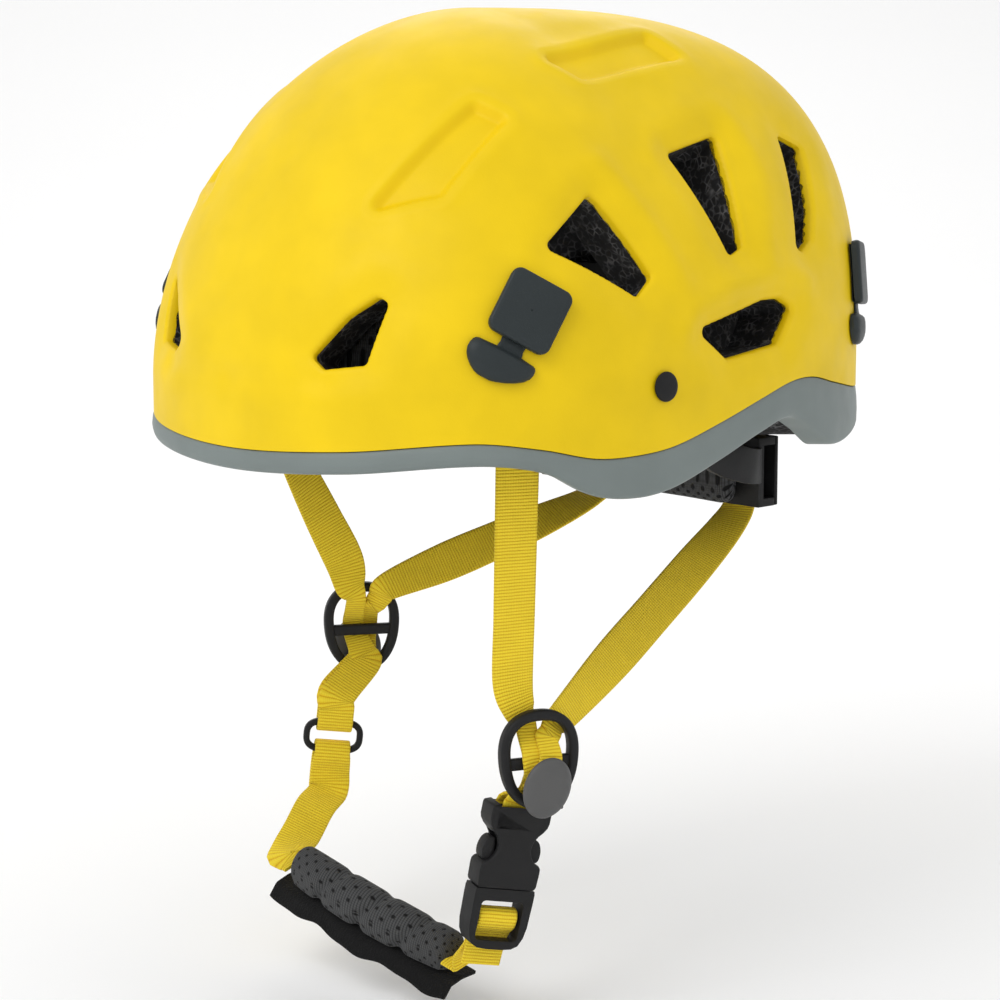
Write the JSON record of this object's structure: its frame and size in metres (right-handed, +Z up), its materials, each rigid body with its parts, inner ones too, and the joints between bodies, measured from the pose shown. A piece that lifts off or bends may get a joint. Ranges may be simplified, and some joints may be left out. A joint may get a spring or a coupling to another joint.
{
  "type": "climbing helmet",
  "caption": "Climbing helmet with a vented hard shell over a foam liner, headlamp clips, a dial-adjusted nape cradle and a webbing chin harness with a side-release buckle.",
  "frame": {"origin": "middle of the flat underside of the crown pad, where the helmet rests on the head", "axes": "+Z up through the crown, -Y the way the wearer faces, +X the wearer's left"},
  "size_m": [0.2172, 0.275, 0.3473],
  "materials": {
    "shell_yellow": "matte painted in-mould shell",
    "band_grey": "matte moulded shell",
    "foam_black": "expanded foam with a fine bead grain",
    "clip_slate": "satin moulded",
    "buckle_black": "fine matte moulded",
    "webbing_yellow": "ribbed woven webbing",
    "pad_grey": "perforated mesh over foam",
    "lining_black": "brushed fleece",
    "cradle_black": "flexible matte moulded"
  },
  "bodies": {
    "helmet": {"buckle_socket": "buckle_black", "chin_pad": "pad_grey", "chin_pad_lining": "lining_black", "chin_strap_r": "webbing_yellow", "clip_base_front_l": "clip_slate", "clip_base_front_r": "clip_slate", "clip_base_rear_l": "clip_slate", "clip_base_rear_r": "clip_slate", "crown_pad": "pad_grey", "divider_l": "buckle_black", "divider_r": "buckle_black", "foam_liner": "foam_black", "front_anchor_l": "buckle_black", "front_anchor_r": "buckle_black", "front_pad": "pad_grey", "harness_strap_l": "webbing_yellow", "harness_strap_r": "webbing_yellow", "headband": "cradle_black", "lower_shell": "band_grey", "outer_shell": "shell_yellow", "rear_anchor_l": "buckle_black", "rear_anchor_r": "buckle_black", "side_pad_l": "pad_grey", "side_pad_r": "pad_grey", "side_plug_l": "clip_slate", "side_plug_r": "clip_slate", "strap_ring": "buckle_black", "temple_rivet_l": "buckle_black", "temple_rivet_r": "buckle_black"},
    "nape_cradle": {"nape_cradle": "cradle_black", "cradle_cover": "cradle_black", "nape_pad": "pad_grey", "cradle_hanger_l": "cradle_black", "cradle_hanger_r": "cradle_black"},
    "size_dial": {"size_dial": "buckle_black", "dial_pinion": "buckle_black"},
    "rack_l": {"rack_l": "buckle_black"},
    "rack_r": {"rack_r": "buckle_black"},
    "clip_pad_front_l": {"clip_pad_front_l": "clip_slate"},
    "clip_pad_rear_l": {"clip_pad_rear_l": "clip_slate"},
    "clip_pad_front_r": {"clip_pad_front_r": "clip_slate"},
    "clip_pad_rear_r": {"clip_pad_rear_r": "clip_slate"},
    "divider_lever_l": {"divider_lever_l": "clip_slate"},
    "divider_lever_r": {"divider_lever_r": "clip_slate"},
    "buckle_plug": {"buckle_plug": "buckle_black", "chin_strap_l": "webbing_yellow"},
    "buckle_prong_front": {"buckle_prong_front": "buckle_black"},
    "buckle_prong_rear": {"buckle_prong_rear": "buckle_black"}
  },
  "joints": [
    {"name": "cradle_slide", "type": "slide", "parent": "helmet", "child": "nape_cradle", "axis": [0, -1, 0], "range_m": [-0.0194, 0.00785], "deforming": ["harness_strap_l", "harness_strap_r", "cradle_hanger_l", "cradle_hanger_r"]},
    {"name": "dial_turn", "type": "hinge", "parent": "nape_cradle", "child": "size_dial", "pos_m": [0, 0.092, -0.14], "axis": [0, -1, 0], "range_deg": [-222.5, 90]},
    {"name": "rack_l_slide", "type": "slide", "parent": "nape_cradle", "child": "rack_l", "axis": [-1, 0, 0], "range_m": [-0.022, 0.008]},
    {"name": "rack_r_slide", "type": "slide", "parent": "nape_cradle", "child": "rack_r", "axis": [1, 0, 0], "range_m": [-0.022, 0.008]},
    {"name": "clip_front_l_hinge", "type": "hinge", "parent": "helmet", "child": "clip_pad_front_l", "pos_m": [0.09261, -0.05112, -0.05819], "axis": [-0.5098, -0.7082, 0.4883], "range_deg": [0, 40], "stiffness_Nm_per_rad": 0.02, "springref_deg": -5.73},
    {"name": "clip_rear_l_hinge", "type": "hinge", "parent": "helmet", "child": "clip_pad_rear_l", "pos_m": [0.07403, 0.12551, -0.05493], "axis": [0.5632, -0.818, 0.117], "range_deg": [0, 40], "stiffness_Nm_per_rad": 0.02, "springref_deg": -5.73},
    {"name": "clip_front_r_hinge", "type": "hinge", "parent": "helmet", "child": "clip_pad_front_r", "pos_m": [-0.09261, -0.05112, -0.05819], "axis": [-0.5098, 0.7082, -0.4883], "range_deg": [0, 40], "stiffness_Nm_per_rad": 0.02, "springref_deg": -5.73},
    {"name": "clip_rear_r_hinge", "type": "hinge", "parent": "helmet", "child": "clip_pad_rear_r", "pos_m": [-0.07403, 0.12551, -0.05493], "axis": [0.5632, 0.818, -0.117], "range_deg": [0, 40], "stiffness_Nm_per_rad": 0.02, "springref_deg": -5.73},
    {"name": "divider_l_lever", "type": "hinge", "parent": "helmet", "child": "divider_lever_l", "pos_m": [0.07376, -0.03337, -0.2404], "axis": [0.342, 0.9397, 0], "range_deg": [0, 50]},
    {"name": "divider_r_lever", "type": "hinge", "parent": "helmet", "child": "divider_lever_r", "pos_m": [-0.07346, 0.0095, -0.2199], "axis": [-0.5, -0.866, 0], "range_deg": [0, 50]},
    {"name": "buckle_release", "type": "slide", "parent": "helmet", "child": "buckle_plug", "axis": [-0.1252, -0.1595, -0.9792], "range_m": [0, 0.026], "deforming": ["chin_strap_l", "buckle_prong_front", "buckle_prong_rear"]},
    {"name": "prong_front_squeeze", "type": "hinge", "parent": "buckle_plug", "child": "buckle_prong_front", "pos_m": [0.05511, -0.04471, -0.27047], "axis": [-0.9446, 0.3209, 0.0685], "range_deg": [0, 9], "stiffness_Nm_per_rad": 0.004, "springref_deg": -5.73},
    {"name": "prong_rear_squeeze", "type": "hinge", "parent": "buckle_plug", "child": "buckle_prong_rear", "pos_m": [0.0596, -0.0309, -0.27329], "axis": [0.9446, -0.3209, -0.0685], "range_deg": [0, 9], "stiffness_Nm_per_rad": 0.004, "springref_deg": -5.73}
  ],
  "couplings": [
    {"joint": "dial_turn", "follows": "cradle_slide", "rad_per_m": 200},
    {"joint": "rack_l_slide", "follows": "cradle_slide", "ratio": 1},
    {"joint": "rack_r_slide", "follows": "cradle_slide", "ratio": 1}
  ]
}
